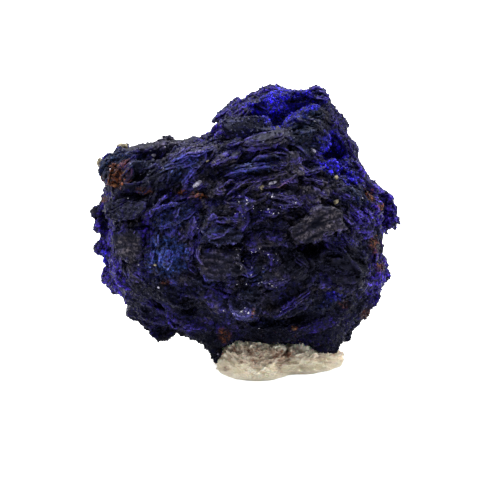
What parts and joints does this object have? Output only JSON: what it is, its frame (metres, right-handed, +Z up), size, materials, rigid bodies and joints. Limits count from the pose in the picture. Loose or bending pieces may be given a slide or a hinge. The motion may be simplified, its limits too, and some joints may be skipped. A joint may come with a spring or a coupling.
{
  "type": "azurite specimen",
  "caption": "Upright azurite mineral specimen: a rounded mass of stepped crystal leaves with a peak and an open hollow, held by a pressed wad of mounting putty.",
  "frame": {"origin": "on the surface that the specimen stands on, under the middle of its box", "axes": "+Z up, the side with the hollow and the smooth plates faces -Y, +X to its right as seen from the front"},
  "size_m": [0.0462, 0.0298, 0.0418],
  "materials": {
    "azurite": "dark blue druse, satin with bright grains",
    "mounting_putty": "matte, lumpy, cream with brown stains"
  },
  "bodies": {
    "root": {"azurite": "azurite", "mounting_putty": "mounting_putty"}
  },
  "joints": []
}
